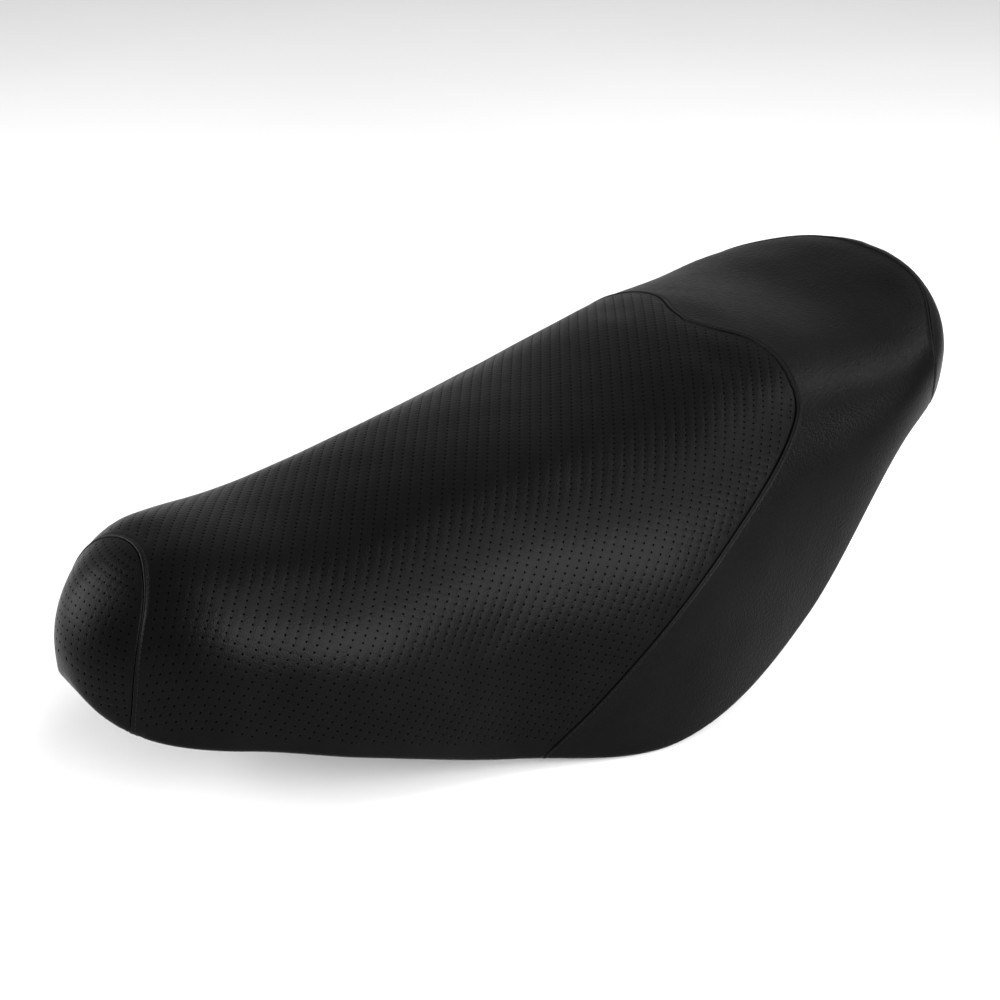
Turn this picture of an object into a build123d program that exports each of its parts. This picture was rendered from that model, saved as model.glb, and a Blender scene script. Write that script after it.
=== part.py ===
"""Saddle of a small scooter: stitched cover, foam, moulded pan, front hinge, latch striker and bumpers.

Frame: +X from the nose to the tail, +Y to the rider's right, +Z up, millimetres.
The origin is the centre of the two mounting holes, on the underside of the hinge's body bracket.
"""
from build123d import *
import os

os.makedirs("parts", exist_ok=True)

# ---- overall lines of the upholstered body -------------------------------------------------
NOSE_X = -71.0
LENGTH = 680.0
TAIL_X = NOSE_X + LENGTH
STATION = [NOSE_X + s for s in (0, 60, 150, 260, 380, 500, 600, 680)]
HALF_WIDTH = (63, 83, 118, 128, 159, 149, 137, 115)
CROWN = (130, 132, 123, 139, 154, 181, 183, 207)    # top of the cushion on the centre line
EDGE = (6, 12, -6, -43, -56, 2, 117, 132)           # lower edge of the skirt
FULLNESS = (0.54, 0.62, 0.67, 0.73, 0.73, 0.75, 0.75, 0.72)   # how square the shoulders are
FLOOR = (47, 51, 53, 65, 79, 115, 145, 165)         # top of the pan's raised floor
BELT = 0.4            # height of the widest line, as a share of the section's height
TUCK = 0.98           # width at the lower edge over the width at the belt
NOSE_CAP = (81.0, 2.13, 0.43)     # length of the rounded end, its exponent, height of its tip
TAIL_CAP = (87.0, 2.83, 0.915)
SLICES = (1, 4, 10, 20, 36, 60, 95, 140, 190, 240, 290, 340, 390, 440, 490, 515, 540, 562, 585,
          603, 620, 645, 662, 672, 677, 679)

# ---- cover, foam and pan -------------------------------------------------------------------
COVER = 2.0           # vinyl with its bonded backing
GAP = 0.4             # room left between cover and foam
SLACK = 1.2           # room left round the moulded pan
HEM = 22.0            # width of the cover turned under the pan
FLANGE = 3.0          # thickness of the pan's rim and walls
WALL_INSET = 28.0     # from the outer edge to the foot of the pan's raised part
WALL_LEAN = 8.0       # the raised part narrows by this much on the way up
PAN_FRONT = 32.0      # ends of the raised part, from the nose tip and from the tail tip
PAN_REAR = 36.0
RIM_FRONT = 13.0      # ends of the pan's rim, from the nose tip and from the tail tip
RIM_REAR = 14.0
RIB = 2.4
RIB_DEPTH = 12.0
RIB_PITCH = 80.0

# ---- seams of the cover: half-widths and the places of the seam at the height of the origin --
DRIVER_SEAM = ((0, 25, 50, 76, 100, 128, 140, 157, 170),
               (225, 231, 242, 248, 251, 257, 254, 241, 230))
DRIVER_SEAM_LEAN = 1.1            # the seam moves back by this much for each millimetre it climbs
NOSE_SEAM = ((0, 15, 30, 40, 48, 55, 62), (-42.5, -44, -48, -51.5, -55.5, -61.5, -72))
NOSE_SEAM_LEAN = 0.19
TAIL_SEAM = ((0, 35, 69, 85, 101, 115, 130, 142), (601, 599.5, 592, 582.5, 570.5, 560, 551, 541))
TAIL_SEAM_LEAN = 0.0

# ---- hinge ---------------------------------------------------------------------------------
PIN_X, PIN_Z, PIN_R = -21.0, 13.0, 4.0
EAR_R = 8.0
SHEET = 3.0           # steel sheet of both hinge halves
BRACKET_EAR_Y = 10.0  # inner face of the body bracket's ears
WASHER_T = 0.8
LEAF_EAR_Y = BRACKET_EAR_Y + SHEET + WASHER_T + 0.2
BOLT_PITCH = 40.0     # M6 pair, across the seat
BOLT_HOLE_R = 3.25
BRACKET_LENGTH = 26.0
PLATE_WIDTH = 58.0
LEAF_X = 10.0         # centre of the leaf's plate
LEAF_LENGTH = 48.0
LEAF_Z = 30.0         # underside of the leaf's plate
LEAF_BOLT_X = 18.0
PLATE_CORNER = 5.0
PIN_END = LEAF_EAR_Y + SHEET + 4.0      # the pin's clip end, from the centre of the seat
PIN_HEAD_Y = LEAF_EAR_Y + SHEET + 0.4   # inner face of the pin's head
PIN_HEAD_R, PIN_HEAD_T = 6.5, 2.4
PRESS_PLAY, RUNNING_PLAY = 0.02, 0.06   # round the pin, in the bracket and in what turns on it
GROOVE_Y = PIN_END - 1.6
GROOVE_R, GROOVE_W = 3.2, 1.1
CLIP_R, CLIP_T, CLIP_PLAY = 7.0, 1.0, 0.05
CLIP_MOUTH = 4.6

# ---- latch striker -------------------------------------------------------------------------
STRIKER_X = 519.0
STRIKER_Z = 124.0     # underside of the boss that carries the striker plate
STRIKER_PLATE = (36.0, 96.0, 2.5)
STRIKER_BOLT_PITCH = 76.0
LOOP_ROD_R = 4.0
LOOP_WIDTH = 36.0     # between the leg axes
LOOP_DROP = 34.0      # from the plate to the axis of the cross bar
LOOP_BEND_R = 10.0

# ---- rubber bumpers: place along the seat and half-spacing -----------------------------------
BUMPERS = {"front": (64.0, 46.0), "mid": (259.0, 84.0), "rear": (484.0, 80.0)}
BUMPER_R = 14.0
BUMPER_HEIGHT = 14.0
BUMPER_TAPER = 6.0    # degrees
BUMPER_EDGE_R = 2.0
BUMPER_STEM_R, BUMPER_STEM = 4.0, 8.0
STEM_HOLE = 9.0
BOSS_R = 11.0
BOSS_DROP = 18.0      # from the top of the floor to the face of a bumper boss

# ---- small fasteners -------------------------------------------------------------------------
BOLT_R = 3.0
BOLT_FLANGE_R, BOLT_FLANGE_T = 6.5, 1.2
BOLT_HEX_R, BOLT_HEX_H = 5.0, 4.0       # to the flats
BOLT_LENGTH = 11.0
INSERT_R = 4.5
INSERT_LENGTH = 9.0
STAPLE = (10.0, 1.2, 0.6)
STAPLE_LEG = 5.5
STAPLE_PITCH = 23.0


def smooth(x, stations, values):
    """Value at x of a smooth curve through the values at the stations."""
    last = len(stations) - 1

    def slope(i):
        if i == 0:
            return (values[1] - values[0]) / (stations[1] - stations[0])
        if i == last:
            return (values[-1] - values[-2]) / (stations[-1] - stations[-2])
        before, after = stations[i] - stations[i - 1], stations[i + 1] - stations[i]
        rise_before = (values[i] - values[i - 1]) / before
        rise_after = (values[i + 1] - values[i]) / after
        return (rise_before * after + rise_after * before) / (before + after)

    i = max(j for j in range(last) if j == 0 or stations[j] <= x)
    step = stations[i + 1] - stations[i]
    t = (x - stations[i]) / step
    return ((1 + 2 * t) * (1 - t) ** 2 * values[i] + t * (1 - t) ** 2 * step * slope(i)
            + t * t * (3 - 2 * t) * values[i + 1] + t * t * (t - 1) * step * slope(i + 1))


def body_lines(x):
    """Half-width, crown height and edge height of the outer body at x, ends rounded off."""
    width = smooth(x, STATION, HALF_WIDTH)
    crown = smooth(x, STATION, CROWN)
    edge = smooth(x, STATION, EDGE)
    at_nose = x < NOSE_X + LENGTH / 2
    length, power, tip = NOSE_CAP if at_nose else TAIL_CAP
    reach = length - (x - NOSE_X if at_nose else TAIL_X - x)
    shrink = (1 - (reach / length) ** power) ** (1 / power) if reach > 0 else 1.0
    tip_z = edge + tip * (crown - edge)
    return width * shrink, tip_z + (crown - tip_z) * shrink, tip_z + (edge - tip_z) * shrink


def slice_x(s, inset):
    """Place of a slice, s from the nose tip, in a body that is inset all round."""
    return NOSE_X + inset + s * (LENGTH - 2 * inset) / LENGTH


def body_loft(inset, lift=0.0):
    """The upholstered body as a solid, inset all round, its underside raised by lift."""
    with BuildPart() as body:
        for s in SLICES:
            width, crown, edge = body_lines(NOSE_X + s)
            square = smooth(NOSE_X + s, STATION, FULLNESS)
            w, c, e = width - inset, crown - inset, edge + inset
            belt = e + BELT * (c - e)
            rise, foot = (c - belt) * square, w * TUCK
            e += lift
            with BuildSketch(Plane.YZ.offset(slice_x(s, inset))):
                with BuildLine():
                    Bezier((foot, e), (w, (e + belt) / 2), (w, belt))
                    Bezier((w, belt), (w, belt + rise), (w * square, c), (0, c))
                    Bezier((0, c), (-w * square, c), (-w, belt + rise), (-w, belt))
                    Bezier((-w, belt), (-w, (e + belt) / 2), (-foot, e))
                    Line((-foot, e), (foot, e))
                make_face()
        loft()
    return body.part


def under_loft(start, end, outline, inset=COVER + SLACK):
    """A solid between two ends, from outline(x) = (foot half-width, top half-width, bottom, top)."""
    inner = [s for s in SLICES if start + 3 < s < LENGTH - end - 3]
    with BuildPart() as body:
        for s in [start, *inner, LENGTH - end]:
            foot, top, low, high = outline(NOSE_X + s)
            with BuildSketch(Plane.YZ.offset(slice_x(s, inset))):
                Polygon((-foot, low), (foot, low), (top, high), (-top, high), align=None)
        loft()
    return body.part


def raised_part(x, grow, low):
    """Outline of the pan's raised part at x, its faces moved out by grow."""
    width, _, edge = body_lines(x)
    foot = width * TUCK - WALL_INSET + grow
    return foot, foot - WALL_LEAN, edge + low, smooth(x, STATION, FLOOR) + grow


def rim(x):
    """Outline of the pan's rim at x: a thin band that follows the skirt's lower edge."""
    width, _, edge = body_lines(x)
    reach = (width - COVER - SLACK) * TUCK
    low = edge + COVER + SLACK
    return reach, reach, low, low + FLANGE


def seam_region(seam, lean, x_far):
    """Everything from a seam of the cover to x_far, as a leaning prism."""
    half, place = seam
    right = [(x, y) for y, x in zip(half, place)]
    left = [(x, -y) for y, x in zip(half[:0:-1], place[:0:-1])]
    depth = 140.0
    shift = -depth * lean
    with BuildPart() as region:
        with BuildSketch(Plane.XY.offset(-depth)):
            with BuildLine():
                Spline(*[(x + shift, y) for x, y in left + right])
                Polyline((right[-1][0] + shift, right[-1][1]), (right[-1][0] + shift, 400),
                         (x_far, 400), (x_far, -400), (left[0][0] + shift, -400),
                         (left[0][0] + shift, left[0][1]))
            make_face()
        extrude(amount=3 * depth * (1 + lean ** 2) ** 0.5, dir=(lean, 0, 1))
    return region.part


# ---- foam, cover and pan ---------------------------------------------------------------------
from_below = (Align.CENTER, Align.CENTER, Align.MIN)
outer = body_loft(0)
inner = body_loft(COVER)
hem_opening = under_loft(RIM_FRONT + HEM, RIM_REAR + HEM,
                         lambda x: (body_lines(x)[0] * TUCK - HEM,) * 2
                         + (body_lines(x)[2] - 3, body_lines(x)[2] + COVER + 2))
raised = under_loft(PAN_FRONT, PAN_REAR, lambda x: raised_part(x, 0, COVER + SLACK))
raised_room = under_loft(PAN_FRONT - SLACK, PAN_REAR - SLACK, lambda x: raised_part(x, SLACK, 0))
hollow = under_loft(PAN_FRONT + FLANGE, PAN_REAR + FLANGE, lambda x: raised_part(x, -FLANGE, -5))
rib_zone = under_loft(PAN_FRONT + FLANGE, PAN_REAR + FLANGE,
                      lambda x: (raised_part(x, -FLANGE - 4, 0)[1],) * 2
                      + (smooth(x, STATION, FLOOR) - RIB_DEPTH, smooth(x, STATION, FLOOR) - 1))
boss_zone = under_loft(PAN_FRONT + 1, PAN_REAR + 1, lambda x: raised_part(x, -1, 0))

with BuildPart() as cover:
    add(outer)
    add(inner, mode=Mode.SUBTRACT)
    add(hem_opening, mode=Mode.SUBTRACT)

behind_nose = seam_region(NOSE_SEAM, NOSE_SEAM_LEAN, 900)
behind_driver = seam_region(DRIVER_SEAM, DRIVER_SEAM_LEAN, 900)
behind_passenger = seam_region(TAIL_SEAM, TAIL_SEAM_LEAN, 900)

with BuildPart() as cover_nose_panel:
    add(cover.part)
    add(behind_nose, mode=Mode.SUBTRACT)

with BuildPart() as cover_driver_panel:
    add(cover.part)
    add(behind_nose, mode=Mode.INTERSECT)
    add(behind_driver, mode=Mode.SUBTRACT)

with BuildPart() as cover_passenger_panel:
    add(cover.part)
    add(behind_driver, mode=Mode.INTERSECT)
    add(behind_passenger, mode=Mode.SUBTRACT)

with BuildPart() as cover_tail_panel:
    add(cover.part)
    add(behind_passenger, mode=Mode.INTERSECT)

with BuildPart() as foam_cushion:
    add(body_loft(COVER + GAP, lift=FLANGE + 2 * SLACK - GAP))
    add(raised_room, mode=Mode.SUBTRACT)

bumper_places = {}
for row, (x, half) in BUMPERS.items():
    for side, y in (("left", -half), ("right", half)):
        bumper_places[f"bumper_{row}_{side}"] = (x, y, smooth(x, STATION, FLOOR) - BOSS_DROP)

with BuildPart() as base_pan:
    add(raised)
    add(under_loft(RIM_FRONT, RIM_REAR, rim))
    add(hollow, mode=Mode.SUBTRACT)
    with BuildPart(mode=Mode.PRIVATE) as ribs:
        for k in range(int(LENGTH / RIB_PITCH)):
            with Locations((NOSE_X + PAN_FRONT + (k + 1) * RIB_PITCH, 0, 50)):
                Box(RIB, 400, 400)
        with GridLocations(0, RIB_PITCH, 1, 3):
            Box(2 * LENGTH, RIB, 600)
        add(rib_zone, mode=Mode.INTERSECT)
    add(ribs.part)
    with BuildPart(mode=Mode.PRIVATE) as bosses:
        with Locations(*bumper_places.values()):
            Cylinder(BOSS_R, 60, align=from_below)
        with Locations((LEAF_X, 0, LEAF_Z + SHEET)):
            Box(LEAF_LENGTH, PLATE_WIDTH, 60, align=from_below)
        with Locations((STRIKER_X, 0, STRIKER_Z)):
            Box(STRIKER_PLATE[0], STRIKER_PLATE[1], 60, align=from_below)
        add(boss_zone, mode=Mode.INTERSECT)
    add(bosses.part)
    with Locations(*bumper_places.values()):
        Cylinder(BUMPER_STEM_R, STEM_HOLE, align=from_below, mode=Mode.SUBTRACT)
    with Locations((LEAF_BOLT_X, 0, LEAF_Z + SHEET)):
        with GridLocations(0, BOLT_PITCH, 1, 2):
            Cylinder(INSERT_R, INSERT_LENGTH, align=from_below, mode=Mode.SUBTRACT)
    with Locations((STRIKER_X, 0, STRIKER_Z)):
        with GridLocations(0, STRIKER_BOLT_PITCH, 1, 2):
            Cylinder(INSERT_R, INSERT_LENGTH, align=from_below, mode=Mode.SUBTRACT)


def staple_seat(x, side):
    """Where a staple lies: on the hem's underside, in line with the skirt's lower edge."""
    width, _, edge = body_lines(x)
    ahead, _, edge_ahead = body_lines(x + 1)
    along = Vector(1, side * (ahead - width), edge_ahead - edge)
    up = Vector(edge - edge_ahead, 0, 1)
    spot = Vector(x, side * (width * TUCK - HEM / 2), edge) - up.normalized() * STAPLE[2]
    return Plane(origin=spot, x_dir=along, z_dir=up).location


staple_seats = [staple_seat(NOSE_X + s, side)
                for s in range(24, int(LENGTH) - 30, int(STAPLE_PITCH)) for side in (-1, 1)]
leg_shift = (STAPLE[0] - STAPLE[1]) / 2
leg_seats = [seat * Location((shift, 0, 0)) for seat in staple_seats for shift in (-leg_shift, leg_shift)]

with BuildPart() as cover_staples:
    with Locations(*staple_seats):
        Box(*STAPLE, align=from_below)
    with Locations(*leg_seats):
        Box(STAPLE[1], STAPLE[1] / 2, STAPLE_LEG, align=from_below)

# ---- hinge -----------------------------------------------------------------------------------
ear_span = BRACKET_EAR_Y + SHEET

with BuildPart() as hinge_bracket:
    with BuildSketch(Plane.XY):
        RectangleRounded(BRACKET_LENGTH, PLATE_WIDTH, PLATE_CORNER)
        with GridLocations(0, BOLT_PITCH, 1, 2):
            Circle(BOLT_HOLE_R, mode=Mode.SUBTRACT)
    extrude(amount=SHEET)
    for y in (-ear_span, BRACKET_EAR_Y):
        with BuildSketch(Plane.XZ.offset(-y - SHEET)):
            with BuildLine():
                CenterArc((PIN_X, PIN_Z), EAR_R, 0, 360)
                Polyline((PIN_X, 0.2), (BRACKET_LENGTH / 2, 0.2), (BRACKET_LENGTH / 2, SHEET))
            make_hull()
        extrude(amount=SHEET)
    with BuildSketch(Plane.XZ.offset(-ear_span)):
        with Locations((PIN_X, PIN_Z)):
            Circle(PIN_R + PRESS_PLAY)
    extrude(amount=2 * ear_span, mode=Mode.SUBTRACT)

with BuildPart() as hinge_leaf:
    with BuildSketch(Plane.XY.offset(LEAF_Z)):
        with Locations((LEAF_X, 0)):
            RectangleRounded(LEAF_LENGTH, PLATE_WIDTH, PLATE_CORNER)
        with Locations((LEAF_BOLT_X, 0)):
            with GridLocations(0, BOLT_PITCH, 1, 2):
                Circle(BOLT_HOLE_R, mode=Mode.SUBTRACT)
    extrude(amount=SHEET)
    for y in (-LEAF_EAR_Y - SHEET, LEAF_EAR_Y):
        with BuildSketch(Plane.XZ.offset(-y - SHEET)):
            with BuildLine():
                CenterArc((PIN_X, PIN_Z), EAR_R, 0, 360)
                Polyline((LEAF_X - LEAF_LENGTH / 2, LEAF_Z + 1), (LEAF_X, LEAF_Z + 1), (LEAF_X, LEAF_Z))
            make_hull()
        extrude(amount=SHEET)
    with BuildSketch(Plane.XZ.offset(-LEAF_EAR_Y - SHEET)):
        with Locations((PIN_X, PIN_Z)):
            Circle(PIN_R + RUNNING_PLAY)
    extrude(amount=2 * (LEAF_EAR_Y + SHEET), mode=Mode.SUBTRACT)

with BuildPart() as hinge_pin:
    with BuildSketch(Plane.XZ.offset(-PIN_END)):
        with Locations((PIN_X, PIN_Z)):
            Circle(PIN_R)
    extrude(amount=PIN_END + PIN_HEAD_Y)
    with BuildSketch(Plane.XZ.offset(PIN_HEAD_Y)):
        with Locations((PIN_X, PIN_Z)):
            Circle(PIN_HEAD_R)
    extrude(amount=PIN_HEAD_T)
    chamfer(hinge_pin.edges().filter_by(GeomType.CIRCLE).group_by(Axis.Y)[-1], 0.6)
    with BuildSketch(Plane.XZ.offset(-GROOVE_Y)):
        with Locations((PIN_X, PIN_Z)):
            Circle(PIN_R + 1)
            Circle(GROOVE_R, mode=Mode.SUBTRACT)
    extrude(amount=GROOVE_W, mode=Mode.SUBTRACT)

with BuildPart() as hinge_pin_clip:
    with BuildSketch(Plane.XZ.offset(-GROOVE_Y + CLIP_PLAY)):
        with Locations((PIN_X, PIN_Z)):
            Circle(CLIP_R)
            Circle(GROOVE_R + 2 * CLIP_PLAY, mode=Mode.SUBTRACT)
        with Locations((PIN_X, PIN_Z - PIN_R)):
            Rectangle(CLIP_MOUTH, 2 * PIN_R, mode=Mode.SUBTRACT)
    extrude(amount=CLIP_T)

with BuildPart() as hinge_washers:
    for y in (-ear_span - WASHER_T - 0.1, ear_span + 0.1):
        with BuildSketch(Plane.XZ.offset(-y - WASHER_T)):
            with Locations((PIN_X, PIN_Z)):
                Circle(EAR_R)
                Circle(PIN_R + RUNNING_PLAY, mode=Mode.SUBTRACT)
        extrude(amount=WASHER_T)


def flange_bolts(x, z, pitch):
    """A pair of upward M6 flange bolts whose heads bear on the plane at z."""
    with BuildPart() as bolts:
        with Locations((x, 0, z)):
            with GridLocations(0, pitch, 1, 2):
                Cylinder(BOLT_R, BOLT_LENGTH, align=from_below)
        with BuildSketch(Plane.XY.offset(z)):
            with Locations((x, 0)):
                with GridLocations(0, pitch, 1, 2):
                    Circle(BOLT_FLANGE_R)
        extrude(amount=-BOLT_FLANGE_T)
        with BuildSketch(Plane.XY.offset(z - BOLT_FLANGE_T)):
            with Locations((x, 0)):
                with GridLocations(0, pitch, 1, 2):
                    RegularPolygon(BOLT_HEX_R, 6, major_radius=False)
        extrude(amount=-BOLT_HEX_H)
    return bolts.part


def inserts(x, z, pitch):
    """A pair of threaded bushes moulded into the pan, open below at z."""
    with BuildPart() as bushes:
        with Locations((x, 0, z)):
            with GridLocations(0, pitch, 1, 2):
                Cylinder(INSERT_R, INSERT_LENGTH, align=from_below)
                Cylinder(BOLT_R, INSERT_LENGTH, align=from_below, mode=Mode.SUBTRACT)
    return bushes.part


with BuildPart() as hinge_leaf_bolts:
    add(flange_bolts(LEAF_BOLT_X, LEAF_Z, BOLT_PITCH))

with BuildPart() as hinge_leaf_inserts:
    add(inserts(LEAF_BOLT_X, LEAF_Z + SHEET, BOLT_PITCH))

# ---- latch striker -----------------------------------------------------------------------------
plate_low = STRIKER_Z - STRIKER_PLATE[2]
with BuildPart() as striker_plate:
    with BuildSketch(Plane.XY.offset(plate_low)):
        with Locations((STRIKER_X, 0)):
            RectangleRounded(STRIKER_PLATE[0], STRIKER_PLATE[1], PLATE_CORNER)
            with GridLocations(0, STRIKER_BOLT_PITCH, 1, 2):
                Circle(BOLT_HOLE_R, mode=Mode.SUBTRACT)
    extrude(amount=STRIKER_PLATE[2])

with BuildPart() as striker_loop:
    leg = LOOP_WIDTH / 2
    with BuildLine() as loop_line:
        FilletPolyline((STRIKER_X, -leg, plate_low), (STRIKER_X, -leg, plate_low - LOOP_DROP),
                       (STRIKER_X, leg, plate_low - LOOP_DROP), (STRIKER_X, leg, plate_low),
                       radius=LOOP_BEND_R)
    with BuildSketch(Plane.XY.offset(plate_low)):
        with Locations((STRIKER_X, -leg)):
            Circle(LOOP_ROD_R)
    sweep(path=loop_line.line)

with BuildPart() as striker_bolts:
    add(flange_bolts(STRIKER_X, plate_low, STRIKER_BOLT_PITCH))

with BuildPart() as striker_inserts:
    add(inserts(STRIKER_X, STRIKER_Z, STRIKER_BOLT_PITCH))

# ---- bumpers -------------------------------------------------------------------------------------
bumpers = {}
for name, (x, y, z) in bumper_places.items():
    with BuildPart() as bumper:
        with BuildSketch(Plane.XY.offset(z)):
            with Locations((x, y)):
                Circle(BUMPER_R)
        extrude(amount=-BUMPER_HEIGHT, taper=BUMPER_TAPER)
        fillet(bumper.edges().group_by(Axis.Z)[0], BUMPER_EDGE_R)
        with Locations((x, y, z)):
            Cylinder(BUMPER_STEM_R, BUMPER_STEM, align=from_below)
    bumpers[name] = bumper

pieces = {
    "cover_nose_panel": cover_nose_panel, "cover_driver_panel": cover_driver_panel,
    "cover_passenger_panel": cover_passenger_panel, "cover_tail_panel": cover_tail_panel,
    "foam_cushion": foam_cushion, "base_pan": base_pan, "cover_staples": cover_staples,
    "hinge_bracket": hinge_bracket, "hinge_leaf": hinge_leaf, "hinge_pin": hinge_pin,
    "hinge_pin_clip": hinge_pin_clip, "hinge_washers": hinge_washers,
    "hinge_leaf_bolts": hinge_leaf_bolts, "hinge_leaf_inserts": hinge_leaf_inserts,
    "striker_plate": striker_plate, "striker_loop": striker_loop,
    "striker_bolts": striker_bolts, "striker_inserts": striker_inserts, **bumpers,
}
for name, piece in pieces.items():
    piece.part.label = name
    export_step(piece.part, f"parts/{name}.step")
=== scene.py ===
"""Looks of a scooter saddle: perforated and plain vinyl panels, their seams and stitches, foam and hardware.

Lengths are in millimetres and become metres where a mesh is made. Lights and camera are placed in metres.
The frame is the CAD model's: +X from the nose to the tail, +Y to the rider's right, +Z up.
"""
import math

import bpy
import numpy as np
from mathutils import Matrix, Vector
from mathutils.geometry import delaunay_2d_cdt


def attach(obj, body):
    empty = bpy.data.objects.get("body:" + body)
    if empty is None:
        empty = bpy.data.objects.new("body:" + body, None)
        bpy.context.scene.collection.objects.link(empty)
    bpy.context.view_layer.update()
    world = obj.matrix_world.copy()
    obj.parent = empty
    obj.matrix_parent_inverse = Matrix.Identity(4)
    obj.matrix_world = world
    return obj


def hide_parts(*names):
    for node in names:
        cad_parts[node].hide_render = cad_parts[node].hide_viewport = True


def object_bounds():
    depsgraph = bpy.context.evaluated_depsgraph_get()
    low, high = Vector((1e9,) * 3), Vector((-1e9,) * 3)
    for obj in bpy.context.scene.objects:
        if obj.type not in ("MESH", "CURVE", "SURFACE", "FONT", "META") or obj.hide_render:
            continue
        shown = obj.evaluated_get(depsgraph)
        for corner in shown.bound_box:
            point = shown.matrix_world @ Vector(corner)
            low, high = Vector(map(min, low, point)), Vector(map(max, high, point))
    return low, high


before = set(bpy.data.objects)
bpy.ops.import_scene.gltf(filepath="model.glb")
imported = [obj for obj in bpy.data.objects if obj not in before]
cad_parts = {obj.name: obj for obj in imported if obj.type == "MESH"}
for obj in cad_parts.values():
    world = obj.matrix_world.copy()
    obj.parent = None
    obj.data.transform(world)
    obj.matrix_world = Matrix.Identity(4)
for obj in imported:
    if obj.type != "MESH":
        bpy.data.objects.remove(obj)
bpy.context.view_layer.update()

MM = 0.001

# ---- lines of the upholstered body, the same as the CAD model's ------------------------------
NOSE_X = -71.0
LENGTH = 680.0
STATION = [NOSE_X + s for s in (0, 60, 150, 260, 380, 500, 600, 680)]
HALF_WIDTH = (63, 83, 118, 128, 159, 149, 137, 115)
CROWN = (130, 132, 123, 139, 154, 181, 183, 207)   # top of the cushion on the centre line
EDGE = (6, 12, -6, -43, -56, 2, 117, 132)          # lower edge of the skirt
FULLNESS = (0.54, 0.62, 0.67, 0.73, 0.73, 0.75, 0.75, 0.72)         # how square the shoulders are
FLOOR = (47, 51, 53, 65, 79, 115, 145, 165)       # top of the pan's raised floor
BELT = 0.4                 # height of the widest line, as a share of the section's height
TUCK = 0.98                # width at the lower edge, as a share of the width at the widest line
NOSE_CAP = (81.0, 2.13, 0.43)         # length of the rounded end, its power, and the height of its tip
TAIL_CAP = (87.0, 2.83, 0.915)
COVER = 2.0
HEM = 22.0                 # width of the cover turned under the pan
ROLL_R = 3.5               # radius of the cover's turned lower edge
GAP = 0.4                  # room left between cover and foam
SLACK = 1.2                # room left round the moulded pan
FLANGE = 3.0               # thickness of the pan's rim and walls
WALL_INSET = 28.0          # from the outer edge to the foot of the pan's raised part
WALL_LEAN = 8.0            # how far the raised part's walls lean in
PAN_FRONT, PAN_REAR = 32.0, 36.0      # ends of the raised part, from the nose tip and the tail tip
RIM_FRONT, RIM_REAR = 13.0, 14.0      # ends of the pan's rim, from the same tips
# Seams: half-widths, and the places of the seam at the height of the origin. A seam moves back by its
# lean for each millimetre that it climbs.
DRIVER_SEAM = ((0, 25, 50, 76, 100, 128, 140, 157, 170),
               (225, 231, 242, 248, 251, 257, 254, 241, 230))
DRIVER_SEAM_LEAN = 1.1
NOSE_SEAM = ((0, 15, 30, 40, 48, 55, 62), (-42.5, -44, -48, -51.5, -55.5, -61.5, -72))
NOSE_SEAM_LEAN = 0.19
TAIL_SEAM = ((0, 35, 69, 85, 101, 115, 130, 142), (601, 599.5, 592, 582.5, 570.5, 560, 551, 541))
TAIL_SEAM_LEAN = 0.0

# ---- sewing and perforation --------------------------------------------------------------------
# Height of the skin over its plain surface, by distance from a seam.
LIP_SIDE = ((0, 0.35, 0.75, 1.3, 2.0, 2.7, 3.3, 3.9, 4.7, 6.0),
            (-1.1, -0.2, 0.45, 0.65, 0.5, 0.15, -0.35, -0.05, 0.05, 0.0))
PLAIN_SIDE = ((0, 0.35, 0.8, 1.7), (-1.1, -0.35, 0.0, 0.0))
STITCH_LINE = 3.3
STITCH_PITCH = 3.7
STITCH_LENGTH = 3.1
THREAD_R = 0.27
THREAD_DIP = 0.42          # how far a stitch sinks in at its ends
SEAM_STEP = 2.4
DRIVER_HOLES = ((7.2, 4.7), -36)     # cell of the lattice of holes, and its turn in degrees
NOSE_HOLES = ((5.6, 5.6), 0)
DIMPLE_R, HOLE_R = 1.05, 0.8
DIMPLE_DEPTH, HOLE_DEPTH = 0.05, 1.6
FINE_CELL, END_CELL, WIDE_CELL, LINING_CELL = 3.0, 4.0, 6.0, 15.0    # spacing of the meshes' points
SKIRT_ROWS = 6             # the last rows of a section before the lower edge, kept free of holes
HOLE_CLEAR = 0.3           # least room between a dimple and a seam's relief or the panel's outline
ROW_STEP = 2.5             # along the rows of points at the lower edge
ROW_CLEAR = (1.5, 0.6)     # least room between those rows and the outline, and a seam's relief
RELIEF_FADE = (8.0, 0.3)   # distance over which a seam relief weakens to a share at the lower edge
BATCH = 4000               # points worked on at a time


def smooth(x, stations, values):
    """Value at x of the CAD model's smooth curve through the values at the stations."""
    last = len(stations) - 1
    x = min(max(x, stations[0]), stations[last])

    def slope(i):
        if i == 0:
            return (values[1] - values[0]) / (stations[1] - stations[0])
        if i == last:
            return (values[-1] - values[-2]) / (stations[-1] - stations[-2])
        before, after = stations[i] - stations[i - 1], stations[i + 1] - stations[i]
        rise_before = (values[i] - values[i - 1]) / before
        rise_after = (values[i + 1] - values[i]) / after
        return (rise_before * after + rise_after * before) / (before + after)

    i = max(j for j in range(last) if j == 0 or stations[j] <= x)
    step = stations[i + 1] - stations[i]
    t = (x - stations[i]) / step
    return ((1 + 2 * t) * (1 - t) ** 2 * values[i] + t * (1 - t) ** 2 * step * slope(i)
            + t * t * (3 - 2 * t) * values[i + 1] + t * t * (t - 1) * step * slope(i + 1))


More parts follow.
